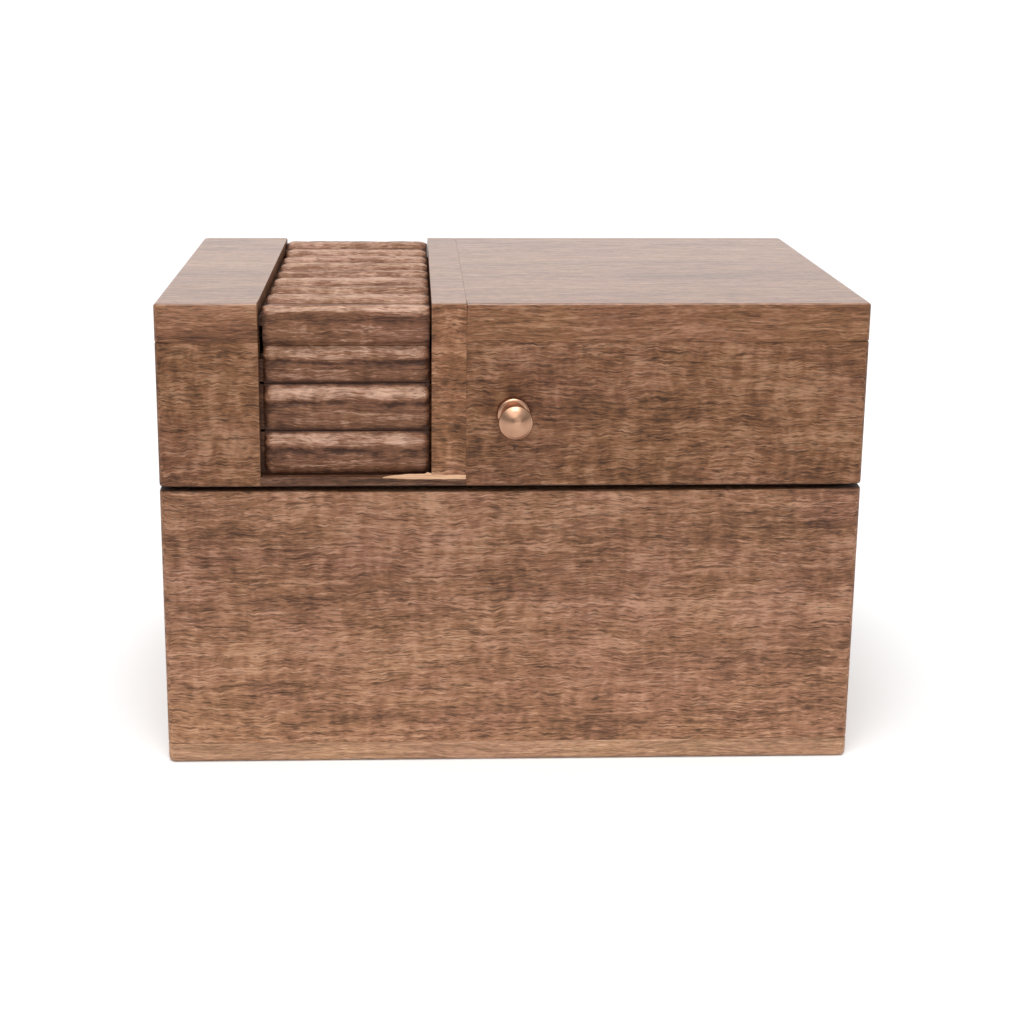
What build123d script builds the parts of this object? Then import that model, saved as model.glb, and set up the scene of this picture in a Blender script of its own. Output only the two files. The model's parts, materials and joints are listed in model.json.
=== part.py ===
from build123d import *
import os

# Wooden puzzle box: a hinged lid, a band of tambour slats that runs up the lid's front, over
# its top and down its back, and a hidden bolt behind the lowest front slat.
# Millimetres. The origin is the centre of the underside, +X is to the right as seen from the
# front, the front faces -Y and +Z is up. The lid is shut, the slats are shut, the bolt is back.

# ---- whole box ----
WIDTH = 200.0
DEPTH = 118.0
HEIGHT = 137.0
WALL = 9.0
BOTTOM_T = 6.0
TOP_T = 11.0
BASE_TOP = 83.2
SEAM = 1.2
SEAM_BOW = 0.8          # how far the front of the base dips at mid width
CORNER_R = 2.0
TOP_ARRIS_R = 1.0
FOOT_ARRIS_R = 1.5

RIGHT = WIDTH / 2
LEFT = -RIGHT
BACK = DEPTH / 2
FRONT = -BACK
LID_Z = BASE_TOP + SEAM
TOP_Z = HEIGHT - TOP_T
IN_RIGHT = RIGHT - WALL
IN_LEFT = -IN_RIGHT
IN_BACK = BACK - WALL
IN_FRONT = -IN_BACK

# ---- lane of the slats ----
LANE_LEFT = -71.3
LANE_RIGHT = -23.0
GUIDE_RIGHT = -13.3     # right side of the guide strips
RAIL_TOP = 87.0
PANEL_T = 3.0
GROOVE_DEPTH = 2.6
GROOVE_W = 3.0
GROOVE_TOP_Z = (129.9, 129.9 + GROOVE_W)
GROOVE_FRONT_Y = (-56.1, -56.1 + GROOVE_W)
GROOVE_BACK_Y = (51.7, 51.7 + GROOVE_W)
BACK_LANE_Z = 99.7      # floor of the lane in the back of the lid
STROKE = 10.0

# ---- slats ----
SLAT_LEFT = -70.0
SLAT_RIGHT = -23.6
SLAT_T = 7.6
BEAD = 2.1              # how far a slat's rounded face stands proud of its edges
SINK = 0.7              # crest of a slat below the face of the boards
SLAT_GAP = 0.2
TONGUE_T = 2.4
TONGUE_OUT = 2.2        # how far a tongue reaches into its groove
CREST_Z = HEIGHT - SINK
CREST_FRONT = FRONT + SINK
CREST_BACK = BACK - SINK
FRONT_JOINTS = (87.1, 100.1, 113.9, 126.1)
CORNER_BACK = -46.8
CORNER_FOOT = 122.3
TOP_SLATS = 7
TOP_PITCH = 13.25
TURN_GAP = 0.35         # gap across the slanted joints where the band turns a corner
BACK_BLOCK_T = 12.1
BACK_BLOCK_Z = HEIGHT - 0.3       # top of the block at the back turn, nearly flush with the boards
BACK_BLOCK_X = (-71.1, -23.2)     # it closes the lane's end, so it is wider than the other slats
BACK_JOINTS = (110.2, 123.3)
BACK_REBATE_Z = 127.6
CANVAS_T = 0.6
CANVAS_INSET = 2.0

# ---- hinges ----
HINGE_X = (-62.0, 62.0)
HINGE_LEN = 25.0
PIN_Y = 56.8
PIN_Z = BASE_TOP + SEAM / 2
PIN_R = 1.0
RUN_CLEAR = 0.05
KNUCKLE_R = 2.2
MID_KNUCKLE = 8.6
LEAF_T = 1.0
LEAF_GAP = 0.4
LEAF_FRONT = 50.6
KNUCKLE_CLEAR = 0.3
BACK_BEVEL = 2.2
HINGE_SCREW_X = 8.0
HINGE_SCREW_Y = 52.4
HINGE_SCREW = (1.4, 2.6, 0.6, 8.0)      # shank and head diameters, head height, length

# ---- knob ----
KNOB_X = 0.0
KNOB_Z = 105.7
ROSETTE_R = 4.8
ROSETTE_T = 2.4
KNOB_OUT = 13.2
KNOB_R = 4.8
KNOB_WIDEST = 10.4      # how far out the knob is widest
NECK_R = 2.5
NECK_OUT = 5.2
KNOB_SCREW = (3.0, 6.0, 2.2, 14.5)

# ---- bolt ----
ROD_R = 2.5
ROD_Y = -42.5
ROD_Z = 92.2
ROD_X = (-76.5, -14.0)
GUIDE_BLOCKS = {"left": (-66.0, -58.0), "right": (-22.0, -14.0)}
GUIDE_Y = (IN_FRONT + PANEL_T, -38.5)
GUIDE_Z = (86.5, 98.5)
COVER_T = 1.2
COVER_SCREW = (1.6, 3.0, 0.8, 6.0)
BUTTON_X = -50.0
BUTTON_R = 3.8
BUTTON_Y = (-54.0, -51.0)
STEM_R = 2.0
KEEPER_X = (-11.0, -9.5)
KEEPER_TOP = 97.5
KEEPER_SCREW = (2.0, 3.6, 1.0, 7.0)
FIT = 0.05              # radial room round screws in their holes

os.makedirs("parts", exist_ok=True)


def block(x, y, z):
    """A box between the two ends given for each axis."""
    size = (x[1] - x[0], y[1] - y[0], z[1] - z[0])
    return Pos((x[0] + x[1]) / 2, (y[0] + y[1]) / 2, (z[0] + z[1]) / 2) * Box(*size)


def bar(outline, x0, x1):
    """A bar along X whose section is an outline of edges drawn in the YZ plane."""
    return Pos(x0, 0, 0) * extrude(Plane.YZ * make_face(outline), amount=x1 - x0)


def polygon_bar(points, x0, x1):
    """A bar along X with a straight-sided section of (y, z) points."""
    return bar(Polyline(*points, close=True), x0, x1)


def rod(start, direction, radius, length):
    """A round bar from start along a unit direction."""
    return extrude(Plane(origin=start, z_dir=direction) * Circle(radius), amount=length)


def screw(start, direction, sizes):
    """A screw whose head's outer face is centred on start, driven along direction."""
    shank, head, head_t, length = sizes
    return rod(start, direction, head / 2, head_t) + rod(start, direction, shank / 2, length)


def screw_room(start, direction, sizes):
    """What is cut away for a screw: its own shape and a little room all round."""
    shank, head, head_t, length = sizes
    wider = (shank + 2 * FIT, head + 2 * FIT, head_t, length + 0.2)
    return screw(start, direction, wider)


def group(pieces):
    """Several separate solids kept as one node."""
    return Compound(children=list(pieces))


def write(name, shape):
    """Writes one node."""
    export_step(shape, f"parts/{name}.step")


# ---------------------------------------------------------------- outer shapes
def rounded(z0, z1, foot_r, top_r):
    """The outer shape of the base or the lid, with its arrises eased."""
    shape = block((LEFT, RIGHT), (FRONT, BACK), (z0, z1))
    shape = fillet(shape.edges().filter_by(Axis.Z), CORNER_R)
    if foot_r:
        shape = fillet(shape.edges().group_by(Axis.Z)[0], foot_r)
    if top_r:
        shape = fillet(shape.edges().group_by(Axis.Z)[-1], top_r)
    return shape


def back_bevel():
    """The wedge taken off both back arrises of the seam, so that the lid can lean back."""
    reach = SEAM / 2 + BACK_BEVEL
    points = (
        (BACK + 1, PIN_Z - reach - 1),
        (BACK - BACK_BEVEL, PIN_Z - SEAM / 2),
        (BACK - BACK_BEVEL, PIN_Z + SEAM / 2),
        (BACK + 1, PIN_Z + reach + 1),
    )
    return polygon_bar(points, LEFT - 1, RIGHT + 1)


def hinge_room():
    """Recesses for both hinges: the let-in leaves and the room round the knuckles."""
    cuts = []
    half = HINGE_LEN / 2 + 0.15
    leaf_reach = LEAF_GAP / 2 + LEAF_T
    knuckle_reach = KNUCKLE_R + KNUCKLE_CLEAR
    for x in HINGE_X:
        span = (x - half, x + half)
        leaf_y = (LEAF_FRONT - 0.15, BACK)
        cuts.append(block(span, leaf_y, (PIN_Z - leaf_reach, PIN_Z + leaf_reach)))
        knuckle_y = (PIN_Y - knuckle_reach, BACK + 1)
        cuts.append(block(span, knuckle_y, (PIN_Z - knuckle_reach, PIN_Z + knuckle_reach)))
    return Part() + cuts


def hinge_screw_places(side):
    """Head centre and direction of each hinge screw: side is 1 in the lid, -1 in the base."""
    z = PIN_Z + side * LEAF_GAP / 2
    for x in HINGE_X:
        for offset in (-HINGE_SCREW_X, HINGE_SCREW_X):
            yield (x + offset, HINGE_SCREW_Y, z), (0, 0, side)


def hinge_screw_rooms(side):
    """What is cut away for the hinge screws of one side."""
    return [screw_room(at, way, HINGE_SCREW) for at, way in hinge_screw_places(side)]


BASE_SHAPE = rounded(0, BASE_TOP, FOOT_ARRIS_R, 0) - back_bevel()
LID_SHAPE = rounded(LID_Z, HEIGHT, 0, TOP_ARRIS_R) - back_bevel()
HINGE_ROOM = hinge_room()


# ---------------------------------------------------------------- base
def keeper_screw_places():
    """Head centre and direction of the two keeper screws."""
    for z in (70.0, 78.0):
        yield (-3.0, IN_FRONT + 1.2 + KEEPER_SCREW[2], z), (0, -1, 0)


def base_boards():
    """Bottom board and four walls. The front and the back cover the ends of the sides."""
    x_all, y_all, z_walls = (LEFT, RIGHT), (FRONT, BACK), (BOTTOM_T, BASE_TOP)
    bow = Line((LEFT, BASE_TOP), (RIGHT, BASE_TOP))
    bow += ThreePointArc((RIGHT, BASE_TOP), (0, BASE_TOP - SEAM_BOW), (LEFT, BASE_TOP))
    bow_cut = extrude(Plane.XZ * make_face(bow), amount=WIDTH, both=True)
    front = BASE_SHAPE & block(x_all, (FRONT, IN_FRONT), z_walls)
    front -= bow_cut
    front -= [screw_room(at, way, KEEPER_SCREW) for at, way in keeper_screw_places()]
    back = BASE_SHAPE & block(x_all, (IN_BACK, BACK), z_walls)
    back -= HINGE_ROOM
    back -= hinge_screw_rooms(-1)
    y_sides = (IN_FRONT, IN_BACK)
    return {
        "base_bottom": BASE_SHAPE & block(x_all, y_all, (0, BOTTOM_T)),
        "base_front": front,
        "base_back": back,
        "base_left": BASE_SHAPE & block((LEFT, IN_LEFT), y_sides, z_walls),
        "base_right": BASE_SHAPE & block((IN_RIGHT, RIGHT), y_sides, z_walls),
    }


def keeper():
    """Brass angle: a plate screwed inside the front wall and an upright tab that the bolt enters."""
    plate = block((KEEPER_X[0], 2.0), (IN_FRONT, IN_FRONT + 1.2), (66.0, 82.0))
    foot = block(KEEPER_X, (IN_FRONT, GUIDE_Y[1]), (66.0, 82.0))
    tab = block(KEEPER_X, (IN_FRONT + PANEL_T, GUIDE_Y[1]), (82.0, KEEPER_TOP))
    shape = plate + foot + tab
    shape -= rod((KEEPER_X[0] - 1, ROD_Y, ROD_Z), (1, 0, 0), ROD_R + 0.3, 4.0)
    shape -= [screw_room(at, way, KEEPER_SCREW) for at, way in keeper_screw_places()]
    return shape


# ---------------------------------------------------------------- lid
def grooves():
    """The grooves that the tongues run in, on both sides of the lane: front, top and back."""
    cuts = []
    sides = (
        (LANE_LEFT - GROOVE_DEPTH, LANE_LEFT),
        (LANE_RIGHT, LANE_RIGHT + GROOVE_DEPTH),
    )
    for side in sides:
        cuts.append(block(side, GROOVE_FRONT_Y, (RAIL_TOP, GROOVE_TOP_Z[1])))
        cuts.append(block(side, (GROOVE_FRONT_Y[0], GROOVE_BACK_Y[1]), GROOVE_TOP_Z))
        cuts.append(block(side, GROOVE_BACK_Y, (BACK_LANE_Z, GROOVE_TOP_Z[1])))
    return Part() + cuts


def lid_boards():
    """The boards of the lid round the lane of the slats."""
    groove = grooves()
    z_walls = (LID_Z, TOP_Z)
    z_top = (TOP_Z, HEIGHT)
    y_all, y_sides, y_front = (FRONT, BACK), (IN_FRONT, IN_BACK), (FRONT, IN_FRONT)
    knob_hole = rod((KNOB_X, IN_FRONT, KNOB_Z), (0, -1, 0), KNOB_SCREW[0] / 2 + FIT, WALL)
    back = LID_SHAPE & block((LEFT, RIGHT), (IN_BACK, BACK), z_walls)
    back -= block((LANE_LEFT, LANE_RIGHT), (IN_BACK, BACK), (BACK_LANE_Z, TOP_Z))
    back -= groove
    back -= HINGE_ROOM
    back -= hinge_screw_rooms(1)
    return {
        "lid_top_left": (LID_SHAPE & block((LEFT, LANE_LEFT), y_all, z_top)) - groove,
        "lid_top_right": LID_SHAPE & block((GUIDE_RIGHT, RIGHT), y_all, z_top),
        "lid_front_left": (LID_SHAPE & block((LEFT, LANE_LEFT), y_front, z_walls)) - groove,
        "lid_front_right": (LID_SHAPE & block((GUIDE_RIGHT, RIGHT), y_front, z_walls)) - knob_hole,
        "lid_side_left": LID_SHAPE & block((LEFT, IN_LEFT), y_sides, z_walls),
        "lid_side_right": LID_SHAPE & block((IN_RIGHT, RIGHT), y_sides, z_walls),
        "lid_back": back,
    }


def guide_strips():
    """The strips right of the lane, mitred together at the front arris, and the rail under it."""
    groove = grooves()
    outer, inner = (FRONT, HEIGHT), (IN_FRONT, TOP_Z)
    upright = polygon_bar(
        ((FRONT, RAIL_TOP), outer, inner, (IN_FRONT, RAIL_TOP)), LANE_RIGHT, GUIDE_RIGHT
    )
    flat = polygon_bar((outer, (BACK, HEIGHT), (BACK, TOP_Z), inner), LANE_RIGHT, GUIDE_RIGHT)
    rail = block((LANE_LEFT, GUIDE_RIGHT), (FRONT, IN_FRONT), (LID_Z, RAIL_TOP))
    return {
        "guide_strip_front": (LID_SHAPE & upright) - groove,
        "guide_strip_top": (LID_SHAPE & flat) - groove,
        "lane_rail": LID_SHAPE & rail,
    }


def lane_panels():
    """Thin panels inside the lid that close the lane off from the compartment."""
    left, right = LANE_LEFT - 4.7, GUIDE_RIGHT - 0.7
    slot_half = STEM_R + 0.4
    behind = block((left, right), (IN_FRONT, IN_FRONT + PANEL_T), (85.0, 121.0))
    behind -= block(
        (BUTTON_X - slot_half, BUTTON_X + STROKE + slot_half),
        (IN_FRONT, IN_FRONT + PANEL_T),
        (ROD_Z - slot_half, ROD_Z + slot_half),
    )
    housing_y = (42.5, IN_BACK)
    housing = block((left, right), housing_y, (BACK_LANE_Z - PANEL_T, TOP_Z))
    housing -= block((LANE_LEFT, LANE_RIGHT), (45.5, IN_BACK), (BACK_LANE_Z, TOP_Z))
    floor_y = (CORNER_BACK + STROKE + 0.4, housing_y[0])
    floor = block((left, right), floor_y, (TOP_Z - PANEL_T, TOP_Z))
    return {"lane_back_panel": behind, "lane_floor": floor, "back_lane_housing": housing}


# ---------------------------------------------------------------- slats
def with_tongue(body, y, z):
    """Adds the thin tongue that runs in the grooves at both ends of a slat."""
    ends = (SLAT_LEFT - TONGUE_OUT - 1.3, SLAT_RIGHT + TONGUE_OUT + 0.7)
    return body + block(ends, y, z)


def front_slats():
    """Three rounded slats up the front, lowest first. The top one ends in a 45 degree slant."""
    back = CREST_FRONT + SLAT_T
    edge = CREST_FRONT + BEAD
    tongue_y = (GROOVE_FRONT_Y[0] + 0.3, GROOVE_FRONT_Y[0] + 0.3 + TONGUE_T)
    slats = {}
    last = len(FRONT_JOINTS) - 1
    for n in range(last):
        low = FRONT_JOINTS[n]
        high = FRONT_JOINTS[n + 1] - SLAT_GAP
        outline = Polyline((edge, low), (back, low), (back, high), (edge, high))
        outline += ThreePointArc((edge, high), (CREST_FRONT, (low + high) / 2), (edge, low))
        slat = bar(outline, SLAT_LEFT, SLAT_RIGHT)
        tongue_high = high - 0.3
        if n == last - 1:
            slant = CREST_FRONT + FRONT_JOINTS[last] - SLAT_GAP
            cut = (
                (CREST_FRONT - 1, slant - CREST_FRONT + 1),
                (back + 1, slant - back - 1),
                (back + 1, HEIGHT),
                (CREST_FRONT - 1, HEIGHT),
            )
            slat -= polygon_bar(cut, SLAT_LEFT - 1, SLAT_RIGHT + 1)
            tongue_high = slant - tongue_y[1] - 0.4
        slat = with_tongue(slat, tongue_y, (low + 0.3, tongue_high))
        if n == 0:
            room = BUTTON_R + 0.6
            slat -= block(
                (BUTTON_X - room, BUTTON_X + STROKE + room),
                (BUTTON_Y[0] - 0.6, back),
                (low, ROD_Z + room + 0.4),
            )
        slats[f"front_slat_{n + 1}"] = slat
    return slats


def corner_slat():
    """The slat that turns the front arris of the lid: a flat face, a rounded top, a slanted foot."""
    slant = CREST_FRONT + FRONT_JOINTS[-1] + TURN_GAP - SLAT_GAP
    foot_front = (slant - CORNER_FOOT, CORNER_FOOT)
    face_foot = (CREST_FRONT, slant - CREST_FRONT)
    face_top = (CREST_FRONT, CREST_Z - 2.2)
    brow = (CREST_FRONT + 3.6, CREST_Z)
    rear = CORNER_BACK - SLAT_GAP
    heel = (rear, CREST_Z - BEAD)
    outline = Polyline(heel, (rear, CORNER_FOOT), foot_front, face_foot, face_top)
    outline += ThreePointArc(face_top, (CREST_FRONT + 1.1, CREST_Z - 0.55), brow)
    outline += ThreePointArc(brow, (CREST_FRONT + 7.9, CREST_Z - 0.6), heel)
    slat = bar(outline, SLAT_LEFT, SLAT_RIGHT)
    return with_tongue(slat, (GROOVE_FRONT_Y[0] + 0.2, rear - 0.4), tongue_z())


def tongue_z():
    """The height range of the tongues that run in the top grooves."""
    return (GROOVE_TOP_Z[0] + 0.3, GROOVE_TOP_Z[0] + 0.3 + TONGUE_T)


def bead_slat(front, back):
    """One slat of the top with its rounded face up."""
    foot, edge = CREST_Z - SLAT_T, CREST_Z - BEAD
    outline = Polyline((front, edge), (front, foot), (back, foot), (back, edge))
    outline += ThreePointArc((back, edge), ((front + back) / 2, CREST_Z), (front, edge))
    return bar(outline, SLAT_LEFT, SLAT_RIGHT)


def top_slats():
    """The slats over the top, front to back. The last one's foot is slanted to clear the turn."""
    slats = {}
    for n in range(TOP_SLATS):
        front = CORNER_BACK + n * TOP_PITCH
        back = front + TOP_PITCH - SLAT_GAP
        slat = bead_slat(front, back)
        tongue_back = back - 0.3
        if n == TOP_SLATS - 1:
            edge = CREST_Z - BEAD
            drop = SLAT_T + 2
            cut = ((back, edge), (back + 2, edge), (back + 2, edge - drop), (back - drop, edge - drop))
            slat -= polygon_bar(cut, SLAT_LEFT - 1, SLAT_RIGHT + 1)
            tongue_back = back - (edge - tongue_z()[0]) - 0.4
        slats[f"top_slat_{n + 1}"] = with_tongue(slat, (front + 0.3, tongue_back), tongue_z())
    return slats


def back_slats():
    """The slats that go down the back: the thick one at the turn, then a plain one."""
    low, high = BACK_JOINTS
    wall = CREST_BACK - SLAT_T
    edge_y = CREST_BACK - BEAD
    edge_z = CREST_Z - BEAD
    block_front = CREST_BACK - BACK_BLOCK_T
    tongue_y = (GROOVE_BACK_Y[0] + 0.3, GROOVE_BACK_Y[0] + 0.3 + TONGUE_T)
    inner = Polyline(
        (edge_y, high),
        (wall, high),
        (wall, BACK_REBATE_Z),
        (block_front, BACK_REBATE_Z),
        (block_front, edge_z),
    )
    crest = (block_front + 5.4, BACK_BLOCK_Z)
    brow = (CREST_BACK - 2.6, BACK_BLOCK_Z)
    shoulder = (CREST_BACK, BACK_BLOCK_Z - 3.4)
    inner += ThreePointArc((block_front, edge_z), (block_front + 2.4, BACK_BLOCK_Z - 0.65), crest)
    inner += Line(crest, brow)
    inner += ThreePointArc(brow, (CREST_BACK - 0.75, BACK_BLOCK_Z - 0.95), shoulder)
    inner += ThreePointArc(shoulder, (CREST_BACK - 0.5, high + 3.2), (edge_y, high))
    turn = with_tongue(bar(inner, *BACK_BLOCK_X), tongue_y, (high + 0.5, 130.8))
    top = high - SLAT_GAP
    outline = Polyline((edge_y, low), (wall, low), (wall, top), (edge_y, top))
    outline += ThreePointArc((edge_y, top), (CREST_BACK, (low + top) / 2), (edge_y, low))
    plain = with_tongue(bar(outline, SLAT_LEFT, SLAT_RIGHT), tongue_y, (low + 0.3, top - 0.3))
    return {"back_slat_1": turn, "back_slat_2": plain}


def canvases():
    """The canvas strips glued behind the slats, one for each straight run of the band."""
    x = (SLAT_LEFT + CANVAS_INSET, SLAT_RIGHT - CANVAS_INSET)
    front_y = (CREST_FRONT + SLAT_T, CREST_FRONT + SLAT_T + CANVAS_T)
    room = BUTTON_R + 0.6
    front = block(x, front_y, (88.0, 118.0))
    window_x = (BUTTON_X - room, BUTTON_X + STROKE + room)
    front -= block(window_x, front_y, (88.0, ROD_Z + room + 0.4))
    under = CREST_Z - SLAT_T
    last_foot = CORNER_BACK + TOP_SLATS * TOP_PITCH - SLAT_GAP - SLAT_T
    top = block(x, (CORNER_BACK, last_foot), (under - CANVAS_T, under))
    wall = CREST_BACK - SLAT_T
    back = block(x, (wall - CANVAS_T, wall), (BACK_JOINTS[0] + 0.4, BACK_REBATE_Z - 0.2))
    return {"front_canvas": front, "top_canvas": top, "back_canvas": back}


# ---------------------------------------------------------------- hinges
def hinge_leaf(x, side):
    """One leaf with its knuckles: side is 1 for the lid's leaf, -1 for the base's."""
    half, mid = HINGE_LEN / 2, MID_KNUCKLE / 2
    low = PIN_Z + side * LEAF_GAP / 2
    z = sorted((low, low + side * LEAF_T))
    plate_end = PIN_Y - KNUCKLE_R - KNUCKLE_CLEAR
    shape = block((x - half, x + half), (LEAF_FRONT, plate_end), z)
    spans = [(-mid, mid)] if side > 0 else [(-half, -mid - 0.15), (mid + 0.15, half)]
    for start, end in spans:
        shape += block((x + start, x + end), (plate_end, PIN_Y), z)
        shape += rod((x + start, PIN_Y, PIN_Z), (1, 0, 0), KNUCKLE_R, end - start)
    bore = PIN_R + (RUN_CLEAR if side > 0 else 0)
    shape -= rod((x - half, PIN_Y, PIN_Z), (1, 0, 0), bore, HINGE_LEN)
    shape -= hinge_screw_rooms(side)
    return shape


def hinges():
    """Two butt hinges: leaves, pins and screws."""
    nodes = {}
    for name, x in zip(("left", "right"), HINGE_X):
        nodes[f"hinge_leaf_lid_{name}"] = hinge_leaf(x, 1)
        nodes[f"hinge_leaf_base_{name}"] = hinge_leaf(x, -1)
        start = (x - HINGE_LEN / 2, PIN_Y, PIN_Z)
        nodes[f"hinge_pin_{name}"] = rod(start, (1, 0, 0), PIN_R, HINGE_LEN)
    for body, side in (("lid", 1), ("base", -1)):
        places = hinge_screw_places(side)
        nodes[f"hinge_screws_{body}"] = group(screw(at, way, HINGE_SCREW) for at, way in places)
    return nodes


# ---------------------------------------------------------------- knob
def knob():
    """Turned brass knob: a round foot, the head on its neck, and the screw from inside."""
    face = (KNOB_X, FRONT, KNOB_Z)
    start = (KNOB_X, IN_FRONT + KNOB_SCREW[2], KNOB_Z)
    hole = rod(start, (0, -1, 0), KNOB_SCREW[0] / 2 + FIT, KNOB_SCREW[3])
    rosette = rod(face, (0, -1, 0), ROSETTE_R, ROSETTE_T)
    rosette = fillet(rosette.edges().group_by(Axis.Y)[0], 1.0) - hole
    rise = KNOB_OUT - KNOB_WIDEST
    dome_r = (KNOB_R**2 + rise**2) / (2 * rise)
    outline = Polyline((0, -KNOB_OUT), (0, -ROSETTE_T), (NECK_R, -ROSETTE_T), (NECK_R, -NECK_OUT))
    outline += Spline((NECK_R, -NECK_OUT), (3.9, -7.7), (KNOB_R, -KNOB_WIDEST))
    outline += RadiusArc((KNOB_R, -KNOB_WIDEST), (0, -KNOB_OUT), dome_r)
    head = Pos(*face) * revolve(make_face(outline), Axis.Y) - hole
    return {
        "knob_rosette": rosette,
        "knob_head": head,
        "knob_screw": screw(start, (0, -1, 0), KNOB_SCREW),
    }


# ---------------------------------------------------------------- bolt
def cover_screw_places():
    """Head centre and direction of the screws that hold the cover to the guide blocks."""
    for x0, x1 in GUIDE_BLOCKS.values():
        for z in (GUIDE_Z[0] + 1.5, GUIDE_Z[1] - 1.5):
            yield ((x0 + x1) / 2, GUIDE_Y[1] + COVER_T, z), (0, -1, 0)


def bolt():
    """The sliding bolt, its thumb button, its two guide blocks and their cover."""
    rooms = [screw_room(at, way, COVER_SCREW) for at, way in cover_screw_places()]
    bolt_rod = rod((ROD_X[0], ROD_Y, ROD_Z), (1, 0, 0), ROD_R, ROD_X[1] - ROD_X[0])
    tip = chamfer(bolt_rod.edges().group_by(Axis.X)[-1], 0.6)
    seat = (BUTTON_X, ROD_Y, ROD_Z)
    stem = rod(seat, (0, -1, 0), STEM_R, ROD_Y - BUTTON_Y[1])
    head = rod((BUTTON_X, BUTTON_Y[1], ROD_Z), (0, -1, 0), BUTTON_R, BUTTON_Y[1] - BUTTON_Y[0])
    head = fillet(head.edges().group_by(Axis.Y)[0], 0.8)
    nodes = {
        "bolt_rod": tip - rod(seat, (0, -1, 0), STEM_R, ROD_R + 1),
        "bolt_button": stem + head,
        "bolt_cover": block((-67.0, -13.8), (GUIDE_Y[1], GUIDE_Y[1] + COVER_T), GUIDE_Z) - rooms,
        "bolt_cover_screws": group(screw(at, way, COVER_SCREW) for at, way in cover_screw_places()),
    }
    bore = rod((ROD_X[0], ROD_Y, ROD_Z), (1, 0, 0), ROD_R + RUN_CLEAR, WIDTH)
    for name, x in GUIDE_BLOCKS.items():
        nodes[f"bolt_guide_{name}"] = block(x, GUIDE_Y, GUIDE_Z) - bore - rooms
    return nodes


def main():
    nodes = {}
    nodes.update(base_boards())
    nodes["bolt_keeper"] = keeper()
    nodes["keeper_screws"] = group(screw(at, way, KEEPER_SCREW) for at, way in keeper_screw_places())
    nodes.update(lid_boards())
    nodes.update(guide_strips())
    nodes.update(lane_panels())
    nodes.update(front_slats())
    nodes["corner_slat"] = corner_slat()
    nodes.update(top_slats())
    nodes.update(back_slats())
    nodes.update(canvases())
    nodes.update(hinges())
    nodes.update(knob())
    nodes.update(bolt())
    for name, shape in nodes.items():
        write(name, shape)
    print(len(nodes), "nodes")


main()
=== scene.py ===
"""Looks of the wooden puzzle box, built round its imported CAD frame.

Metres, with +X to the right, the front towards -Y and +Z up."""

import json
import math

import bmesh
import bpy
from mathutils import Matrix, Vector, noise

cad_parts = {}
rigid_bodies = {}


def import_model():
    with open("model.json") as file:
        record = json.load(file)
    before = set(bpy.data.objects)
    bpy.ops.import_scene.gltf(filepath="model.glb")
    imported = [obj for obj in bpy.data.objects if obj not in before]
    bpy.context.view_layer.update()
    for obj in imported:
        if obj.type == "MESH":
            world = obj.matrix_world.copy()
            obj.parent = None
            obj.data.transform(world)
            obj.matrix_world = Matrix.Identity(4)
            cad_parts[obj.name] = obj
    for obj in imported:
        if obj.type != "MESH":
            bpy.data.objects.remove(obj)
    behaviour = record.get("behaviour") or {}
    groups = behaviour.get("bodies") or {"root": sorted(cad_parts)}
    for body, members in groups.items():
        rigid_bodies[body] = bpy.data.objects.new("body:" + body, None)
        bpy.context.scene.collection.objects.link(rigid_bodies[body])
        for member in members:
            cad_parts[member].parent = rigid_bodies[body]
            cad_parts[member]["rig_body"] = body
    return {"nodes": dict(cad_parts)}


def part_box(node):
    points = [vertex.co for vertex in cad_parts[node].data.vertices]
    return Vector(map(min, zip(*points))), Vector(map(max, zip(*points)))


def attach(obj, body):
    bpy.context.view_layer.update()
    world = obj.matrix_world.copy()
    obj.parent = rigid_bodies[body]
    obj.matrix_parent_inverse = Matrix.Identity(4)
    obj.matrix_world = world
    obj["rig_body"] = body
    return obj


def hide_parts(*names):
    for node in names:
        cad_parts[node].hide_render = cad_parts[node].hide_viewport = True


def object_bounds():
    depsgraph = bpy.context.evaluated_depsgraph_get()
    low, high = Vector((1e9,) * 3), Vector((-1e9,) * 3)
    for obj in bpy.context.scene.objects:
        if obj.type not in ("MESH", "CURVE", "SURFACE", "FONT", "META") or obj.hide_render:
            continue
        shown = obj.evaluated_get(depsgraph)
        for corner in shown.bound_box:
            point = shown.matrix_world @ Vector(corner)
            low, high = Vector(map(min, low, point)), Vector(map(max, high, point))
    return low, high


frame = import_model()
cad_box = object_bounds()
NODES = frame["nodes"]
MM = 0.001

# ---- places shared by several pieces ----
# The visible stretch of a slat, between its two tongues, and how far its rounded side stands proud.
SLAT_LEFT = -70.0 * MM
SLAT_RIGHT = -23.6 * MM
BEAD = 2.1 * MM
KNOB_CENTRE = (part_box("knob_rosette")[0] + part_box("knob_rosette")[1]) / 2
FACE_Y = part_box("base_front")[0].y
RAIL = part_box("lane_rail")
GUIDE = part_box("guide_strip_front")
SEAM_Z = (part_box("lid_side_left")[0].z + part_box("base_left")[1].z) / 2


# ================================================================ shader helpers
def srgb(red, green, blue):
    """A colour given as 0 to 255 on screen, as the linear colour that shaders use."""
    def linear(value):
        value /= 255
        return value / 12.92 if value <= 0.04045 else ((value + 0.055) / 1.055) ** 2.4
    return (linear(red), linear(green), linear(blue), 1.0)


def fill_ramp(node, stops):
    """Gives a colour ramp node its (position, colour) stops."""
    elements = node.color_ramp.elements
    while len(elements) < len(stops):
        elements.new(0.5)
    for element, (position, colour) in zip(elements, stops):
        element.position = position
        element.color = colour


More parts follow.
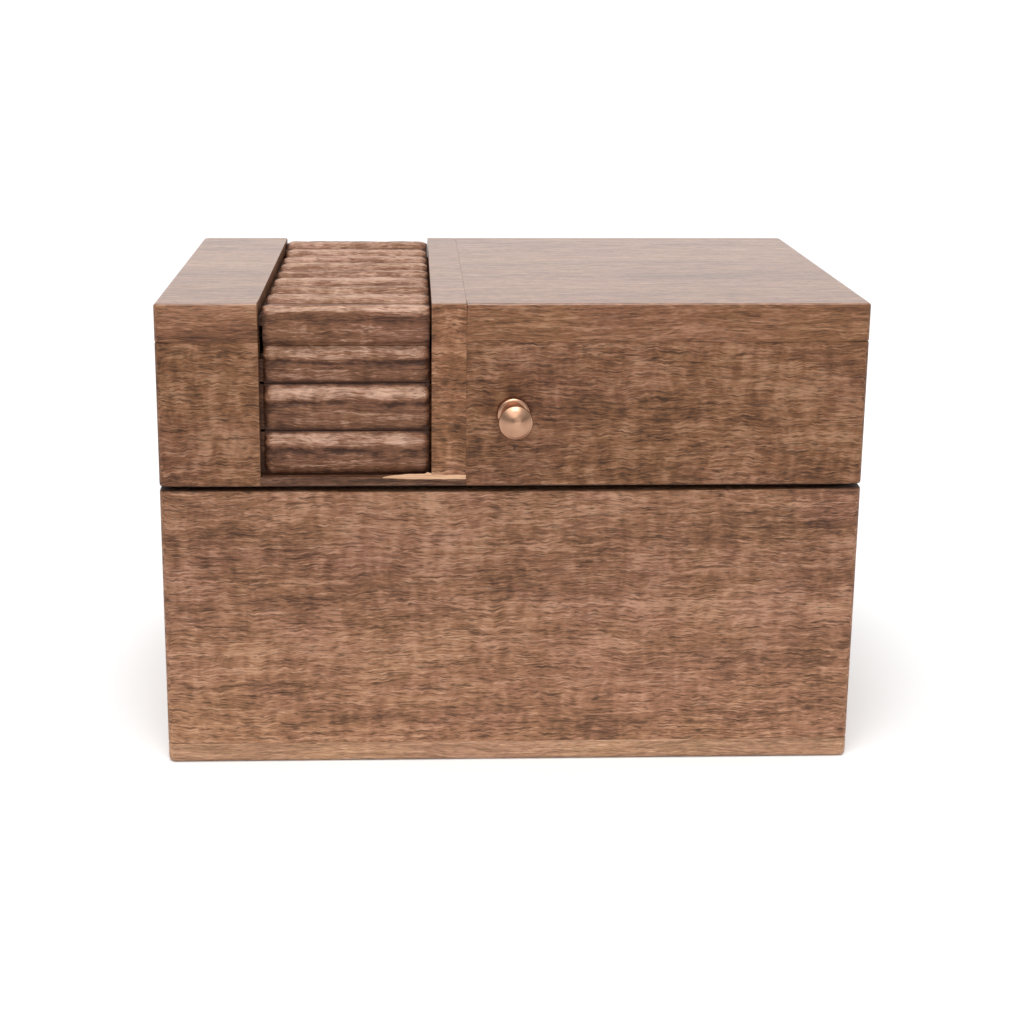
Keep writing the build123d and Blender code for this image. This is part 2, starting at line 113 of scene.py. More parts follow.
class Shader:
    """A material's node tree, with a short function for each kind of node used here."""

    def __init__(self, name):
        self.material = bpy.data.materials.new(name)
        self.material.use_nodes = True
        self.tree = self.material.node_tree
        self.tree.nodes.clear()
        self.bsdf = self.add("ShaderNodeBsdfPrincipled")
        output = self.add("ShaderNodeOutputMaterial")
        self.tree.links.new(self.bsdf.outputs[0], output.inputs[0])

    def add(self, kind):
        return self.tree.nodes.new(kind)

    def plug(self, socket, value):
        """Links value into a socket if it is another node's output, or else sets it."""
        if isinstance(value, bpy.types.NodeSocket):
            self.tree.links.new(value, socket)
        else:
            socket.default_value = value

    def math(self, operation, a, b=0.0, clamp=False):
        node = self.add("ShaderNodeMath")
        node.operation = operation
        node.use_clamp = clamp
        self.plug(node.inputs[0], a)
        self.plug(node.inputs[1], b)
        return node.outputs[0]

    def span(self, value, low, high, new_low=0.0, new_high=1.0):
        """Maps low..high to new_low..new_high, and stays within them."""
        node = self.add("ShaderNodeMapRange")
        self.plug(node.inputs["Value"], value)
        node.inputs["From Min"].default_value = low
        node.inputs["From Max"].default_value = high
        node.inputs["To Min"].default_value = new_low
        node.inputs["To Max"].default_value = new_high
        return node.outputs["Result"]

    def place(self):
        """The point in the row's frame, as separate x, y and z."""
        point = self.add("ShaderNodeTexCoord")
        split = self.add("ShaderNodeSeparateXYZ")
        self.plug(split.inputs[0], point.outputs["Object"])
        return list(split.outputs)

    def vector(self, x, y, z):
        node = self.add("ShaderNodeCombineXYZ")
        for socket, value in zip(node.inputs, (x, y, z)):
            self.plug(socket, value)
        return node.outputs[0]

    def noise(self, at, scales, detail=2.0, roughness=0.5, offset=0.0):
        """Noise that changes over 1/scale metres along each of at's three coordinates."""
        scaled = [self.math("MULTIPLY", value, scale) for value, scale in zip(at, scales)]
        scaled[2] = self.math("ADD", scaled[2], offset)
        node = self.add("ShaderNodeTexNoise")
        node.inputs["Scale"].default_value = 1.0
        node.inputs["Detail"].default_value = detail
        node.inputs["Roughness"].default_value = roughness
        self.plug(node.inputs["Vector"], self.vector(*scaled))
        return node.outputs["Fac"]

    def ramp(self, value, stops):
        """A colour that follows value through (position, colour) stops."""
        node = self.add("ShaderNodeValToRGB")
        fill_ramp(node, stops)
        self.plug(node.inputs[0], value)
        return node.outputs[0]

    def mix(self, factor, a, b):
        node = self.add("ShaderNodeMix")
        node.data_type = "RGBA"
        self.plug(node.inputs["Factor"], factor)
        self.plug(node.inputs["A"], a)
        self.plug(node.inputs["B"], b)
        return node.outputs["Result"]

    def bump(self, height, distance, strength=1.0):
        node = self.add("ShaderNodeBump")
        node.inputs["Distance"].default_value = distance
        node.inputs["Strength"].default_value = strength
        self.plug(node.inputs["Height"], height)
        self.plug(self.bsdf.inputs["Normal"], node.outputs[0])

    def set(self, **values):
        """Sets or links the Principled shader's sockets: names use _ for a space."""
        for name, value in values.items():
            self.plug(self.bsdf.inputs[name.replace("_", " ")], value)
        return self.material


# ================================================================ wood
# Which of x, y and z runs along the grain, across it on the board's face, and into the board.
ALONG_X = (0, 2, 1)
ALONG_X_ON_TOP = (0, 1, 2)
ALONG_Y = (1, 2, 0)
# The painted shade in the seam between lid and base.
SEAM_PAINTED_SHADE = srgb(34, 20, 14)


def grain_places(s, xyz, order, seed, figure):
    """The point along, across and into the board where the grain sways and ripples, and the same
    point with straight grain but a little drift along it, for the curl."""
    along, across, depth = (xyz[n] for n in order)

    def centred(value, reach):
        return s.math("MULTIPLY", s.math("SUBTRACT", value, 0.5), reach)

    straight = (along, across, depth)
    sway = centred(s.noise(straight, (15, 26, 26), 2.0, offset=seed), 6.0 * MM)
    ripple = centred(s.noise(straight, (170, 60, 60), 3.0, 0.6, offset=seed + 3), 2.4 * MM * figure)
    at = (along, s.math("ADD", across, s.math("ADD", sway, ripple)), depth)
    drift = centred(s.noise(at, (60, 60, 60), 2.0), 8.0 * MM)
    return at, (s.math("ADD", along, drift), across, depth)


def thin_lines(s, at, scales, width, seed, break_scales, break_seed):
    """Long thin wandering lines that come and go: up to 1 on a line, and 0 beside it."""
    field = s.noise(at, scales, 3.0, 0.6, seed)
    from_middle = s.math("ABSOLUTE", s.math("SUBTRACT", field, 0.5))
    line = s.span(from_middle, width, 0.2 * width)
    return s.math("MULTIPLY", line, s.noise(at, break_scales, 2.0, 0.5, break_seed))


def open_pores(s, at, seed):
    """1 in the short and the long pores, and 0 between them."""
    short = s.span(s.noise(at, (330, 2300, 2300), 1.0, 0.5, seed + 23), 0.58, 0.70)
    long = s.span(s.noise(at, (120, 1300, 1300), 2.0, 0.5, seed + 29), 0.60, 0.70)
    return s.math("MAXIMUM", short, long)


def mauve_patches(s, at, colour, seed):
    """The colour with broad patches that are a little redder and darker."""
    patch = s.span(s.noise(at, (30, 60, 60), 3.0, 0.65, seed + 41), 0.42, 0.62, 0.1, 0.6)
    mauve = s.add("ShaderNodeHueSaturation")
    mauve.inputs["Hue"].default_value = 0.488
    mauve.inputs["Saturation"].default_value = 0.96
    mauve.inputs["Value"].default_value = 0.95
    s.plug(mauve.inputs["Color"], colour)
    return s.mix(patch, colour, mauve.outputs[0])


def wood(name, order, tones, seed, figure=1.0, pores=1.0, foot=None, carved=False,
         polish=0.2, coat=0.0):
    """Open-pored brown hardwood. tones are its dark, middle, light and pore colours, figure is the
    strength of the ripple across the grain, and foot is a second set of dark, middle and light
    tones that the wood turns to towards the bottom, with the heights where that ends and starts,
    painted light from the bright floor. carved wood is also lighter and darker by the painted light
    and shade that its mesh carries. polish is how strongly it reflects, and coat is how much wax
    lies on it."""
    s = Shader(name)
    xyz = s.place()
    at, curl_at = grain_places(s, xyz, order, seed, figure)
    bands = s.noise(at, (7, 95, 95), 4.0, 0.6, seed + 7)
    fibres = s.noise(at, (70, 700, 700), 3.0, 0.65, seed + 11)
    flecks = s.noise(at, (420, 2300, 2300), 2.0, 0.6, seed + 13)
    blotches = s.noise(at, (16, 38, 38), 3.0, 0.55, seed + 17)
    curl = s.noise(curl_at, (300, 110, 110), 2.0, 0.5, seed + 19)
    layers = ((bands, 0.34), (fibres, 0.30), (flecks, 0.34), (blotches, 0.20), (curl, 0.34 * figure))
    tone = 0.0
    for layer, weight in layers:
        tone = s.math("ADD", s.math("MULTIPLY", layer, weight), tone)
    middle = sum(weight for _, weight in layers) / 2
    tone = s.span(tone, middle - 0.175, middle + 0.175)
    dark_lines = thin_lines(s, at, (22, 330, 330), 0.022, seed + 31, (40, 200, 200), seed)
    pale_lines = thin_lines(s, at, (36, 520, 520), 0.030, seed + 37, (50, 160, 160), seed + 5)
    tone = s.math("SUBTRACT", tone, s.math("MULTIPLY", dark_lines, 0.6 * pores))
    tone = s.math("ADD", tone, s.math("MULTIPLY", pale_lines, 0.6), clamp=True)
    # painted light and shade that the carved slats carry in their mesh: lit crests, shadowed cuts, grooves
    # and ends
    if carved:
        crest_light = s.add("ShaderNodeAttribute")
        crest_light.attribute_name = "crest_light"
        grain = s.math("MULTIPLY", s.math("SUBTRACT", tone, 0.46), 0.75)
        tone = s.math("ADD", crest_light.outputs["Fac"], grain, clamp=True)
    *shades, pore = tones
    colour = s.ramp(tone, tuple(zip((0.0, 0.5, 1.0), shades)))
    # painted light: the wood turns lighter towards the bottom, where the bright floor lights it
    if foot:
        foot_shades, low, high = foot
        floor_lit_colour = s.ramp(tone, tuple(zip((0.0, 0.5, 1.0), foot_shades)))
        colour = s.mix(s.span(xyz[2], high, low), colour, floor_lit_colour)
    colour = mauve_patches(s, at, colour, seed)
    pore_mask = open_pores(s, at, seed)
    colour = s.mix(s.math("MULTIPLY", pore_mask, 0.62 * pores), colour, pore)
    # painted shade along the seam between lid and base, on every board near it
    from_seam = s.math("ABSOLUTE", s.math("SUBTRACT", xyz[2], SEAM_Z))
    colour = s.mix(s.span(from_seam, 1.1 * MM, 0.7 * MM, 0.0, 0.7), colour, SEAM_PAINTED_SHADE)
    height = s.math("SUBTRACT", s.math("MULTIPLY", fibres, 0.6), s.math("MULTIPLY", pore_mask, 0.8))
    height = s.math("ADD", height, s.math("MULTIPLY", curl, 0.4 * figure))
    s.bump(height, 0.25 * MM, 0.45)
    rough = s.span(fibres, 0.3, 0.7, 0.56, 0.42)
    s.set(Coat_Weight=coat, Coat_Roughness=0.22)
    return s.set(Base_Color=colour, Roughness=rough, Specular_IOR_Level=polish)


def tones_of(mid, spread=1.0):
    """Dark, middle, light and pore colours round a middle colour given as 0 to 255. The light one
    turns a little towards beige, and the dark one away from it."""
    def toned(share, beige=0.0):
        return srgb(*(channel * share + beige * part for channel, part in zip(mid, (10, 15, 18))))
    return (toned(1 - 0.40 * spread, -0.35 * spread), toned(1.0), toned(1 + 0.20 * spread, 1.5 * spread),
            toned(0.42))


FRONT_TONES = tones_of((117, 78, 50))
BASE_TONES = tones_of((130, 90, 63))
# lighter tones: painted light that the bright floor throws on the lower front
FLOOR_LIT_TONES = tones_of((153, 110, 79), 0.85)
BAND_TONES = tones_of((124, 84, 55), 0.9)
SIDE_TONES = tones_of((124, 85, 57))
# lighter and paler than the sides: partly painted sheen, standing in for the light the waxed top catches at a
# low angle
TOP_SHEEN_TONES = tones_of((140, 98, 68), 0.7)
# lighter still: painted light from the bright floor, nearest to it
FOOT_FLOOR_LIT_TONES = tones_of((170, 130, 98), 0.7)
GUIDE_TONES = tones_of((129, 87, 57), 1.1)
RAIL_TONES = tones_of((96, 64, 44))
SLAT_TONES = (srgb(60, 35, 21), srgb(122, 83, 58), srgb(192, 156, 132), srgb(64, 40, 26))
INNER_TONES = tones_of((176, 136, 100), 0.6)

WOODS = {
    "base_front": wood("wood_base_front", ALONG_X, BASE_TONES, 1.0, figure=0.9,
                       foot=(FLOOR_LIT_TONES[:3], 12 * MM, 58 * MM)),
    "base_back": wood("wood_base_back", ALONG_X, SIDE_TONES, 41.0, figure=0.6),
    "base_left": wood("wood_base_left", ALONG_Y, SIDE_TONES, 52.0, figure=0.6),
    "base_right": wood("wood_base_right", ALONG_Y, SIDE_TONES, 63.0, figure=0.7),
    "base_bottom": wood("wood_base_bottom", ALONG_X, FOOT_FLOOR_LIT_TONES, 5.0, figure=0.15, pores=0.6),
    "lid_front_left": wood("wood_lid_front_left", ALONG_X, FRONT_TONES, 9.0, figure=1.3),
    "lid_front_right": wood("wood_lid_front_right", ALONG_X, FRONT_TONES, 14.0, figure=1.1),
    "lid_back": wood("wood_lid_back", ALONG_X, SIDE_TONES, 74.0, figure=0.6),
    "lid_side_left": wood("wood_lid_side_left", ALONG_Y, SIDE_TONES, 85.0, figure=0.7),
    "lid_side_right": wood("wood_lid_side_right", ALONG_Y, SIDE_TONES, 96.0, figure=0.7),
    "lane_rail": wood("wood_lane_rail", ALONG_X, RAIL_TONES, 22.0, figure=0.3),
    "guide_strip_front": wood("wood_guide_front", ALONG_X, GUIDE_TONES, 27.0, figure=1.3),
}


# ================================================================ top boards, edges, inside, slats
def top_wood(name, seed):
    """The face of a top board: waxed, so that it turns pale where it is seen at a low angle, and given
    lighter tones as well, a painted sheen.
    """
    return wood(name, ALONG_X_ON_TOP, TOP_SHEEN_TONES, seed, figure=0.3, pores=0.6, polish=0.5, coat=0.75)


WOODS["lid_top_left"] = top_wood("wood_top_left", 31.0)
WOODS["lid_top_right"] = top_wood("wood_top_right", 33.0)
WOODS["guide_strip_top"] = top_wood("wood_guide_top", 36.0)
TOP_BOARDS = ("lid_top_left", "lid_top_right", "guide_strip_top")
BAND_WOOD = wood("wood_top_edge", ALONG_X, BAND_TONES, 38.0, figure=0.2, pores=0.8)
INNER_WOOD = wood("wood_inner", ALONG_X, INNER_TONES, 44.0, figure=0.2, pores=0.5)
SLAT_WOOD = wood("wood_slats", ALONG_X, SLAT_TONES, 47.0, figure=0.7, pores=0.7, carved=True)


# ================================================================ metal and canvas
def brass(name, colour, roughness, brushed):
    """Brass with faint tarnish and fine scratches. brushed scales the scratches along x."""
    s = Shader(name)
    at = s.place()
    haze = s.noise(at, (240, 240, 240), 3.0, 0.6)
    lines = s.noise(at, (120, 6000, 6000), 2.0, 0.6)
    dull = tuple(channel * 0.62 for channel in colour[:3]) + (1.0,)
    shade = s.mix(s.span(haze, 0.42, 0.72, 0.0, 0.6), colour, dull)
    rough = s.math("ADD", roughness, s.math("MULTIPLY", lines, 0.16 * brushed))
    s.bump(lines, 0.02 * MM, 0.4 * brushed)
    return s.set(Base_Color=shade, Metallic=1.0, Roughness=rough)


def turned_brass():
    """Lathe-turned brass: fine rings round the knob's axis stretch the highlights across them."""
    s = Shader("turned_brass")
    x, y, z = s.place()
    dx = s.math("SUBTRACT", x, KNOB_CENTRE.x)
    dz = s.math("SUBTRACT", z, KNOB_CENTRE.z)
    radius = s.math("SQRT", s.math("ADD", s.math("MULTIPLY", dx, dx), s.math("MULTIPLY", dz, dz)))
    rings = s.noise((radius, y, 0.0), (9000, 2500, 1), 2.0, 0.6)
    tangent = s.add("ShaderNodeTangent")
    tangent.direction_type = "RADIAL"
    tangent.axis = "Y"
    s.bump(rings, 0.01 * MM, 0.35)
    haze = s.noise((x, y, z), (300, 300, 300), 2.0)
    colour = s.mix(s.span(haze, 0.4, 0.7, 0.0, 0.35), srgb(182, 142, 116), srgb(146, 106, 82))
    return s.set(Base_Color=colour, Metallic=1.0, Roughness=0.23, Anisotropic=0.8,
                 Tangent=tangent.outputs[0])


def steel():
    s = Shader("drawn_steel")
    lines = s.noise(s.place(), (60, 5000, 5000), 2.0)
    s.bump(lines, 0.01 * MM, 0.4)
    return s.set(Base_Color=(0.58, 0.58, 0.6, 1.0), Metallic=1.0, Roughness=s.span(lines, 0, 1, 0.22, 0.38))


def canvas():
    """Plain weave: over and under threads 0.7 mm apart."""
    s = Shader("canvas")
    x, y, z = s.place()
    pitch = 2 * math.pi / (0.7 * MM)
    across = s.math("ADD", y, z)
    warp = s.math("SINE", s.math("MULTIPLY", x, pitch))
    weft = s.math("SINE", s.math("MULTIPLY", across, pitch))
    weave = s.math("MULTIPLY", warp, weft)
    slub = s.noise((x, y, z), (400, 400, 400), 3.0)
    tone = s.math("ADD", s.span(weave, -1, 1, 0.2, 0.6), s.math("MULTIPLY", slub, 0.4))
    s.bump(weave, 0.1 * MM, 0.6)
    colour = s.ramp(tone, ((0.2, srgb(96, 84, 66)), (0.9, srgb(168, 152, 126))))
    return s.set(Base_Color=colour, Roughness=0.9, Sheen_Weight=0.2)


def raw_wood():
    """Freshly split wood under the stain."""
    s = Shader("raw_wood")
    x, y, z = s.place()
    fibres = s.noise((x, y, z), (90, 1500, 1500), 3.0, 0.6)
    s.bump(fibres, 0.2 * MM, 0.7)
    colour = s.ramp(fibres, ((0.3, srgb(160, 116, 84)), (0.58, srgb(206, 164, 130))))
    return s.set(Base_Color=colour, Roughness=0.75)


def dark_mark():
    # the colour of the short dark mark under the knob
    s = Shader("dark_mark")
    x, y, z = s.place()
    depth = s.noise((x, y, z), (2500, 2500, 900), 2.0)
    colour = s.ramp(depth, ((0.3, srgb(40, 25, 19)), (0.7, srgb(78, 52, 40))))
    return s.set(Base_Color=colour, Roughness=0.85)


TURNED = turned_brass()
SHEET_BRASS = brass("sheet_brass", srgb(206, 162, 96), 0.28, 1.0)
SCREW_BRASS = brass("screw_brass", srgb(196, 150, 88), 0.34, 0.3)
STEEL = steel()
CANVAS = canvas()


# ================================================================ meshes
def piece_from(bm, name, material, body):
    """Makes an object of a bmesh, smooth with its sharp edges kept, and rides it on a body."""
    mesh = bpy.data.meshes.new(name)
    for face in bm.faces:
        face.smooth = True
    bm.to_mesh(mesh)
    bm.free()
    mesh.set_sharp_from_angle(angle=math.radians(32))
    mesh.materials.append(material)
    piece = bpy.data.objects.new(name, mesh)
    bpy.context.scene.collection.objects.link(piece)
    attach(piece, body)
    return piece


def copy_of(node):
    """The CAD node's mesh as a bmesh with its triangles joined where they are flat."""
    bm = bmesh.new()
    bm.from_mesh(NODES[node].data)
    bmesh.ops.remove_doubles(bm, verts=bm.verts, dist=1e-6)
    bmesh.ops.dissolve_limit(bm, angle_limit=math.radians(0.5), verts=bm.verts, edges=bm.edges)
    return bm


def on_outside(edge):
    """Whether an edge is an arris of the whole box, where two of its outer faces meet."""
    low, high = cad_box
    near = 2.2 * MM
    sides = 0
    for axis, (first, last) in enumerate(((low.x, high.x), (FACE_Y, -FACE_Y), (low.z, high.z))):
        at = [v.co[axis] for v in edge.verts]
        sides += max(at) - first < near or last - min(at) < near
    return sides >= 2


def eased_board(node, edge_material=None):
    """A board with its arrises eased, so that its edges catch light and its joints show as lines.
    With edge_material, the faces that look forward, back or sideways have that material."""
    bm = copy_of(node)
    for ease, outside in ((0.5 * MM, True), (0.16 * MM, False)):
        sharp = [e for e in bm.edges if e.is_manifold and e.calc_face_angle() > math.radians(50)]
        chosen = [e for e in sharp if on_outside(e) == outside]
        bmesh.ops.bevel(bm, geom=chosen, offset=ease, segments=2, profile=0.5, affect="EDGES",
                        clamp_overlap=True)
    low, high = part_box(node)
    for v in bm.verts:
        v.co = [min(max(at, first), last) for at, first, last in zip(v.co, low, high)]
    if edge_material:
        for face in bm.faces:
            if abs(face.normal.z) < 0.6:
                face.material_index = 1
    board = piece_from(bm, node + "_board", WOODS[node], NODES[node]["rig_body"])
    if edge_material:
        board.data.materials.append(edge_material)
    weight = board.modifiers.new("weight", "WEIGHTED_NORMAL")
    weight.keep_sharp = True
    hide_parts(node)


def slice_along(bm, axis, low, high, step):
    """Cuts the mesh into strips between low and high along one axis."""
    normal = Vector((0, 0, 0))
    normal[axis] = 1
    for n in range(1, int((high - low) / step)):
        at = Vector((0, 0, 0))
        at[axis] = low + n * step
        geometry = [*bm.verts, *bm.edges, *bm.faces]
        bmesh.ops.bisect_plane(bm, geom=geometry, plane_co=at, plane_no=normal, dist=1e-7)


def bell(x, middle, width):
    """1 at the middle, falling off to both sides."""
    return math.exp(-(((x - middle) / width) ** 2))


def wandering(x, seed, reach):
    """How far a cut strays sideways at x: a slow sway, a quicker one and a fine tremble."""
    sway = noise.noise((x * 0.05, seed, 1.0)) + 0.6 * noise.noise((x * 0.17, seed, 4.0))
    return reach * (sway + 0.35 * noise.noise((x * 0.6, seed, 8.0)))


def front_cut(t, x, seed):
    """How light and how deep a front slat is at t from its foot to its head: a ridge near the head,
    painted light as if lit from above, a dark wandering cut under it, cut into the mesh and painted
    with the shadow under the ridge, then a flatter brown belly, and painted shade at the foot."""
    stray = wandering(x, seed, 0.085)
    ridge = bell(min(t, 0.80), 0.80 + 0.5 * stray, 0.135)
    line = bell(t, 0.57 + stray, 0.06) * (0.8 + 1.1 * noise.noise((x * 0.13, seed, 7.0)))
    second = bell(t, 0.40 - 0.8 * stray, 0.04) * (0.3 + 1.2 * noise.noise((x * 0.16, seed, 11.0)))
    belly = bell(t, 0.26 + 0.6 * stray, 0.20)
    ridge *= 0.84 + 0.3 * noise.noise((x * 0.12, seed, 15.0))
    light = 0.20 + 0.58 * ridge + 0.20 * belly - 0.36 * max(0.0, line) - 0.3 * max(0.0, second)
    # painted shade under the slat's foot
    light -= 0.25 * bell(t, 0.0, 0.08)
    depth = 0.30 * (1 - ridge) + 0.5 * max(0.0, line) + 0.3 * max(0.0, second) - 0.12 * belly
    return light, depth


def top_cut(t, x, seed):
    """The same for a slat on top, from its front to its back: one crest, painted light as if lit from above,
    and dark grooves, cut in and painted with shade; the whole slat is painted lighter for the sheen that a
    top catches.
    """
    stray = wandering(x, seed, 0.12)
    crest_light = bell(t, 0.40 + stray, 0.24) * (0.85 + 0.5 * noise.noise((x * 0.12, seed, 3.0)))
    line = bell(t, 0.72 + 1.3 * stray, 0.07) * (0.6 + 1.2 * noise.noise((x * 0.10, seed, 7.0)))
    return 0.44 + 0.40 * crest_light - 0.26 * max(0.0, line), 0.28 * (1 - crest_light) + 0.3 * max(0.0, line)


def corner_face_cut(t, x, seed):
    """The same for the front of the corner slat, from its foot to where its brow starts."""
    stray = wandering(x, seed, 0.06)
    streak = bell(t, 0.93 + stray, 0.10) + 0.7 * bell(t, 0.30 + 1.5 * stray, 0.06)
    # the last term is painted shade at the slat's foot
    light = 0.46 - 0.26 * streak - 0.25 * bell(t, 0.0, 0.08)
    return light, 0.14 * streak


def corner_brow_cut(t, x, seed):
    """The same for the top of the corner slat, from its rounded brow to its back."""
    crest_light = bell(t, 0.10 + wandering(x, seed, 0.05), 0.18)
    # painted light on the brow's crest, as lit from above, and darker behind it
    return 0.30 + 0.45 * crest_light, 0.3 * (1 - crest_light)


def tool_marks(x, across, seed):
    """Broad and small hollows left by the tool, about -1 to 1."""
    broad = noise.noise((x * 0.16, across * 0.30, seed))
    return broad + 0.5 * noise.noise((x * 0.5, across * 0.9, seed))


def carved_slat(node, ways, seed, wobble=0.34 * MM, ends=0.85 * MM):
    """A slat worked over by hand: cut into a fine net, lowered by its cut, by tool marks and at
    its ends, and marked with the painted light and shade of each point. ways are the axes its
    worked sides face, with their signs and cuts. wobble is the depth of the tool marks, and ends
    how far the slat's ends are rounded off. Everything moves inwards."""
    brow_height = 3.2 * MM
    end_reach = 2.6 * MM
    # painted shade in the grooves between slats, partly their darker stain, at the rounded ends, and on the
    # tongues in their slots
    groove_light, end_light, tongue_light = -0.22, -0.35, -0.3
    bm = copy_of(node)
    low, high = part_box(node)
    left, right = max(low.x, SLAT_LEFT - 1.2 * MM), min(high.x, SLAT_RIGHT + 0.5 * MM)
    slice_along(bm, 0, left, right, 0.6 * MM)
    for out_axis, _, _ in ways:
        slice_along(bm, 3 - out_axis, low[3 - out_axis], high[3 - out_axis], 0.5 * MM)
    crest_light = bm.verts.layers.float.new("crest_light")
    starts = [v.co.copy() for v in bm.verts]
    for v in bm.verts:
        # painted shade beyond the slat's worked stretch, where it goes into its slots
        v[crest_light] = -0.4 if not left <= v.co.x <= right else 0.05
    for turn, (out_axis, sign, cut) in enumerate(ways):
        across_axis = 3 - out_axis
        foot, head = low[across_axis], high[across_axis]
        if len(ways) > 1 and out_axis == 1:
            head -= brow_height
        top = max(at[out_axis] * sign for at in starts)
        crown = [at.x for at in starts if top - at[out_axis] * sign < 0.2 * MM]
        first, last = min(crown), max(crown)
        for v, at in zip(bm.verts, starts):
            proud = 1 - (top - at[out_axis] * sign) / BEAD
            if proud <= 0 or not left - 1e-6 <= at.x <= right + 1e-6:
                continue
            x, across = at.x / MM, at[across_axis] / MM
            here = seed + 5.3 * turn
            light, depth = cut((at[across_axis] - foot) / (head - foot), x, here)
            mark = tool_marks(x, across, here)
            near_end = min(at.x - first, last - at.x) / end_reach
            rounded = max(0.0, 1 - max(near_end, 0.0)) ** 2
            depth = depth * 1.2 * MM + wobble * (0.5 + 0.6 * mark) + ends * rounded
            share = min(1.0, proud * 1.6)
            v.co[out_axis] -= sign * max(0.0, depth) * share
            edge = min(1.0, proud / (0.27 + 0.8 * rounded))
            # painted shade towards the slat's edges and at its rounded ends; the tool marks make it lighter
            # and darker
            light = (light + 0.12 * mark) * edge + groove_light * (1 - edge) + end_light * rounded
            # painted shade on the tongues, which sit in their slots
            if not SLAT_LEFT - 1e-5 <= at.x <= SLAT_RIGHT + 1e-5:
                light = tongue_light
            v[crest_light] = max(v[crest_light], light) if turn else light
    slat = piece_from(bm, node + "_carved", SLAT_WOOD, NODES[node]["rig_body"])
    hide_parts(node)


def lathe(outline, centre, steps):
    """A bmesh turned round the line through centre along Y. outline is (radius, y) points."""
    bm = bmesh.new()
    rings = []
    for radius, y in outline:
        ring = []
        for n in range(steps):
            angle = 2 * math.pi * n / steps
            at = (centre.x + radius * math.cos(angle), y, centre.z + radius * math.sin(angle))
            ring.append(bm.verts.new(at))
        rings.append(ring)
    for inner, outer in zip(rings, rings[1:]):
        for n in range(steps):
            m = (n + 1) % steps
            bm.faces.new((inner[n], inner[m], outer[m], outer[n]))
    bm.faces.new(rings[0])
    bm.faces.new(reversed(rings[-1]))
    bmesh.ops.recalc_face_normals(bm, faces=bm.faces)
    return bm


def arc(centre, radius, start, end, steps):
    """Points on an arc, angles in degrees."""
    points = []
    for n in range(steps + 1):
        angle = math.radians(start + (end - start) * n / steps)
        points.append((centre[0] + radius * math.cos(angle), centre[1] + radius * math.sin(angle)))
    return points


def knob():
    """The knob's foot with its rounded rim, and its flared neck with the domed head."""
    sides = 96
    foot_low, foot_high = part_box("knob_rosette")
    foot_r = (foot_high.x - foot_low.x) / 2
    rim = 1.1 * MM
    foot = [(foot_r - 0.15 * MM, foot_high.y), (foot_r, foot_high.y - 0.2 * MM)]
    foot += arc((foot_r - rim, foot_low.y + rim), rim, 0, -90, 8)
    foot += [(2.6 * MM, foot_low.y), (2.55 * MM, foot_low.y + 0.1 * MM), (0.4 * MM, foot_low.y + 0.1 * MM)]
    base = piece_from(lathe(foot, KNOB_CENTRE, sides), "knob_foot_turned", TURNED, "lid")
    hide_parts("knob_rosette")
    head_low, head_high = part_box("knob_head")
    head_r = (head_high.x - head_low.x) / 2
    neck_r = 2.45 * MM
    widest = FACE_Y - 10.4 * MM
    outline = [(neck_r, head_high.y), (neck_r, FACE_Y - 5.0 * MM), (2.9 * MM, FACE_Y - 5.9 * MM)]
    outline += [(4.05 * MM, FACE_Y - 8.3 * MM), (4.6 * MM, FACE_Y - 9.6 * MM)]
    shoulder = 0.7 * MM
    outline += arc((head_r - shoulder, widest), shoulder, 25, -62, 7)
    tip_r, tip_y = 0.05 * MM, head_low.y
    last_r, last_y = outline[-1]
    dome_steps = 13
    for n in range(1, dome_steps + 1):
        share = n / dome_steps
        radius = last_r * (1 - share) + tip_r * share
        outline.append((radius, last_y + (tip_y - last_y) * math.sin(share * math.pi / 2) ** 0.9))
    head = piece_from(lathe(outline, KNOB_CENTRE, sides), "knob_head_turned", TURNED, "lid")
    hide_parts("knob_head")


def flake(name, material, points, y_face, proud):
    """A thin chip lying on the front: an outline of (x, z) points, raised to a soft ridge."""
    bm = bmesh.new()
    rim = [bm.verts.new((x, y_face + 0.25 * MM, z)) for x, z in points]
    centre_z = sum(z for _, z in points) / len(points)
    inner = []
    for x, z in points:
        inner.append(bm.verts.new((x, y_face - proud, z + (centre_z - z) * 0.35)))
    back = list(reversed(rim))
    bm.faces.new(back)
    for n in range(len(rim)):
        m = (n + 1) % len(rim)
        bm.faces.new((rim[n], rim[m], inner[m], inner[n]))
    bm.faces.new(inner)
    bmesh.ops.recalc_face_normals(bm, faces=bm.faces)
    piece_from(bm, name, material, "lid")


def raw_sliver():
    """The strip of raw wood at the right end of the rail: thin at its left, ragged along its edges."""
    left, right = -36.8 * MM, GUIDE[1].x
    middle = RAIL[1].z - 0.1 * MM
    steps = 26
    upper, lower = [], []
    for n in range(steps + 1):
        share = n / steps
        x = left + (right - left) * share
        ragged = 0.22 * MM * noise.noise((share * 13, 0.4, 2.0))
        spike = 0.7 * MM * math.exp(-((share - 0.55) / 0.035) ** 2)
        body = 0.95 * MM * min(1.0, 0.2 + share * 2.6)
        upper.append((x, middle + body + ragged + spike))
        lower.append((x, middle - body * 0.75 + 0.5 * ragged))
    flake("raw_sliver", raw_wood(), upper + lower[::-1], FACE_Y, 0.12 * MM)


